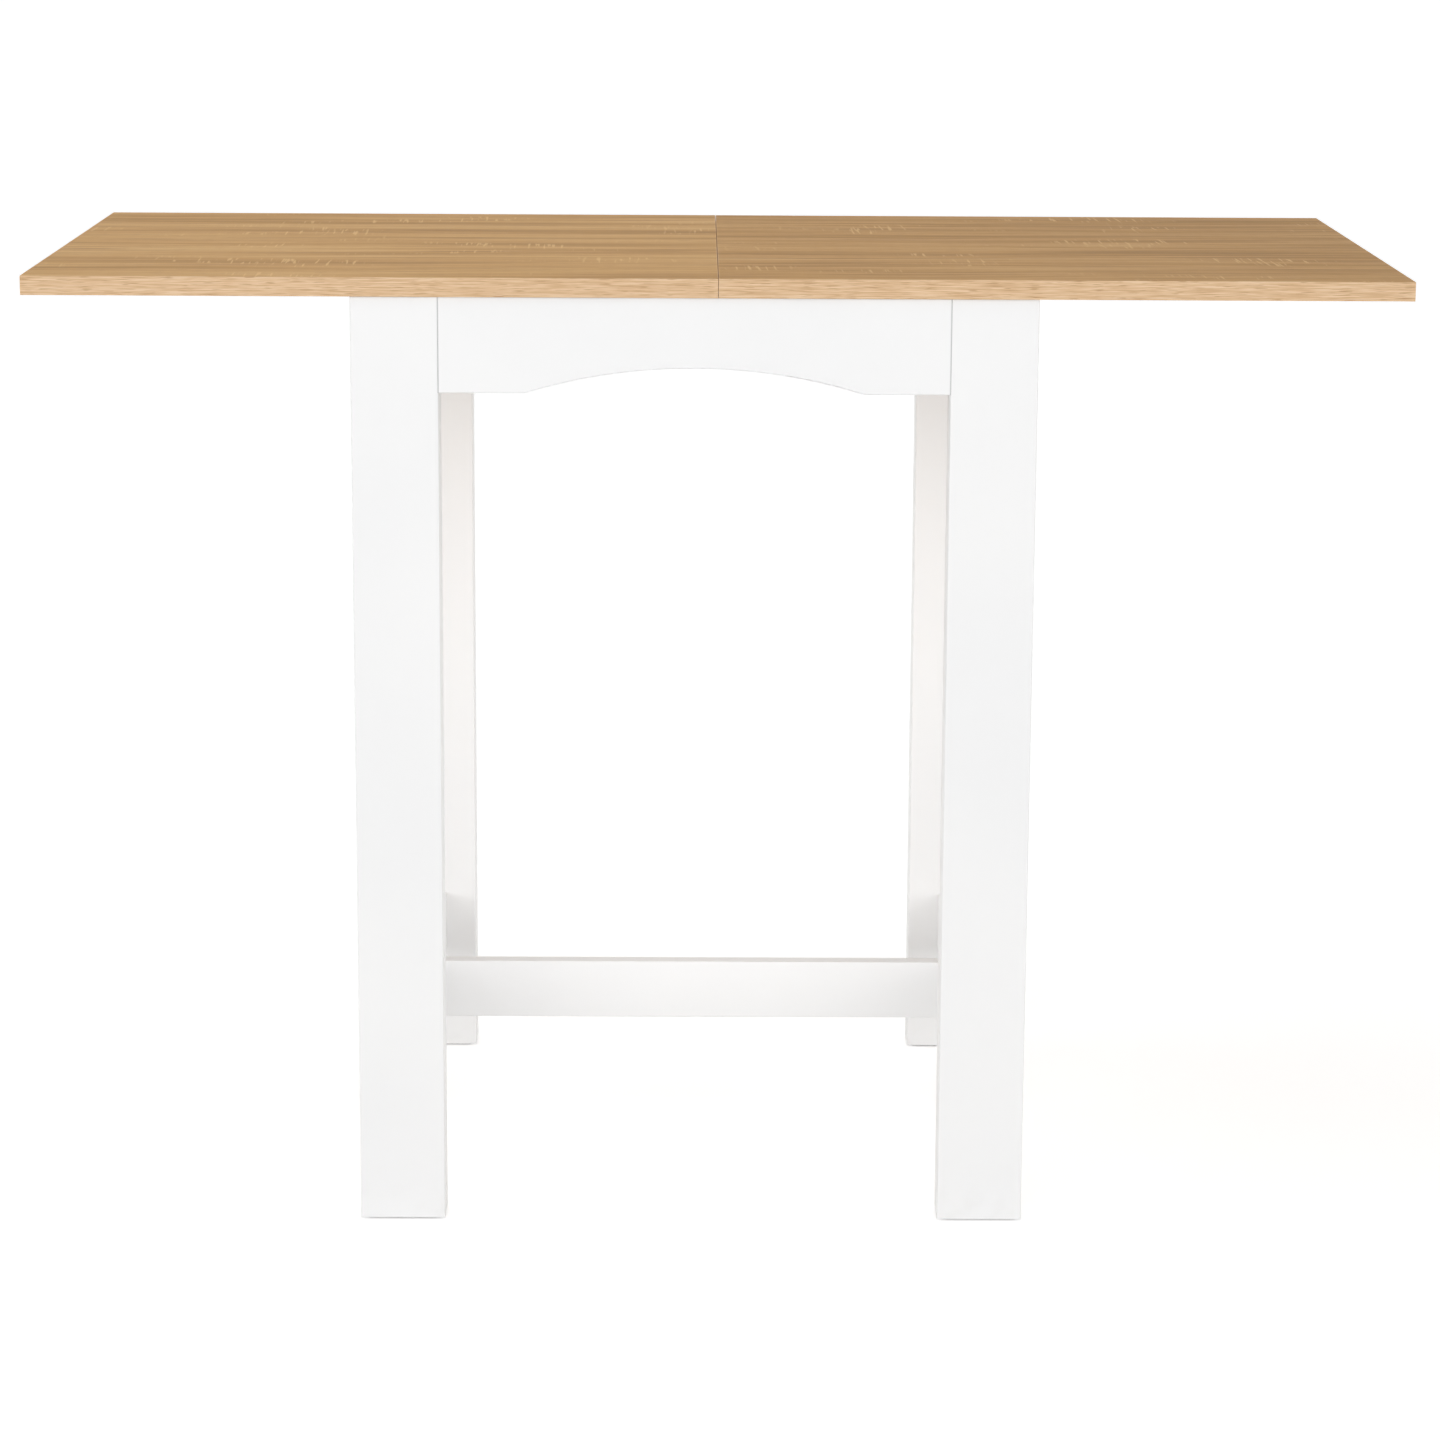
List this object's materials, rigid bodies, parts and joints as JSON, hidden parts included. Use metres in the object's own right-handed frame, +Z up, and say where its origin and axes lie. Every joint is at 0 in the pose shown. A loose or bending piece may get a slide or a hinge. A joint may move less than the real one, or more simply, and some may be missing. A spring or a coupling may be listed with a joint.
{
  "type": "extending bar table",
  "caption": "Bar-height table with a flip-over extending oak-effect top in two leaves on a white frame with arched aprons, flat legs and an H-stretcher.",
  "frame": {"origin": "on the floor under the middle of the open top, where the two leaves meet", "axes": "+X along the open top towards the leaf that folds, +Y from the front to the back, +Z up"},
  "size_m": [1.3004, 0.65, 0.92],
  "materials": {
    "white_paint": "satin white paint",
    "oak_top": "satin oak-effect face",
    "oak_edging": "satin pale oak edge band",
    "beech": "bare beech",
    "dowel_wood": "bare beech dowel",
    "zinc_steel": "bright zinc plate",
    "cast_zinc": "cast zinc, matt",
    "nylon": "white nylon",
    "felt": "pressed grey felt"
  },
  "bodies": {
    "frame": {"leg_front_left": "white_paint", "leg_front_right": "white_paint", "leg_back_left": "white_paint", "leg_back_right": "white_paint", "apron_front": "white_paint", "apron_back": "white_paint", "apron_left": "white_paint", "apron_right": "white_paint", "stretcher_left": "white_paint", "stretcher_right": "white_paint", "stretcher_centre": "white_paint", "joint_block_front_left": "beech", "joint_block_front_right": "beech", "joint_block_back_left": "beech", "joint_block_back_right": "beech", "guide_rail_front": "beech", "guide_rail_back": "beech", "glide_strips": "nylon", "foot_pads": "felt", "apron_dowels": "dowel_wood", "stretcher_dowels": "dowel_wood", "cam_bolts": "zinc_steel", "cam_locks": "cast_zinc", "stretcher_bolts": "zinc_steel", "barrel_nuts": "zinc_steel", "block_bolts": "zinc_steel", "block_washers": "zinc_steel", "threaded_inserts": "zinc_steel", "block_screws": "zinc_steel", "rail_screws": "zinc_steel"},
    "left_leaf": {"left_leaf": "oak_top", "left_leaf_edging": "oak_edging", "runner_front": "beech", "runner_back": "beech", "runner_screws": "zinc_steel", "hinge_cups_left": "cast_zinc", "hinge_pins_left": "zinc_steel", "hinge_screws_left": "zinc_steel"},
    "right_leaf": {"right_leaf": "oak_top", "right_leaf_edging": "oak_edging", "hinge_cups_right": "cast_zinc", "hinge_pins_right": "zinc_steel", "hinge_screws_right": "zinc_steel"},
    "hinge_links_left": {"hinge_links_left": "zinc_steel"},
    "hinge_links_right": {"hinge_links_right": "zinc_steel"}
  },
  "joints": [
    {"name": "top_slide", "type": "slide", "parent": "frame", "child": "left_leaf", "axis": [1, 0, 0], "range_m": [0, 0.3032]},
    {"name": "leaf_flip", "type": "hinge", "parent": "left_leaf", "child": "right_leaf", "pos_m": [0, 0, 0.9202], "axis": [0, -1, 0], "range_deg": [0, 180]},
    {"name": "link_left_swing", "type": "hinge", "parent": "left_leaf", "child": "hinge_links_left", "pos_m": [-0.0052, 0, 0.915], "axis": [0, -1, 0], "range_deg": [0, 90]},
    {"name": "link_right_swing", "type": "hinge", "parent": "right_leaf", "child": "hinge_links_right", "pos_m": [0.0052, 0, 0.915], "axis": [0, 1, 0], "range_deg": [0, 90]}
  ],
  "couplings": [
    {"joint": "link_left_swing", "follows": "leaf_flip", "ratio": 0.5},
    {"joint": "link_right_swing", "follows": "leaf_flip", "ratio": 0.5}
  ]
}
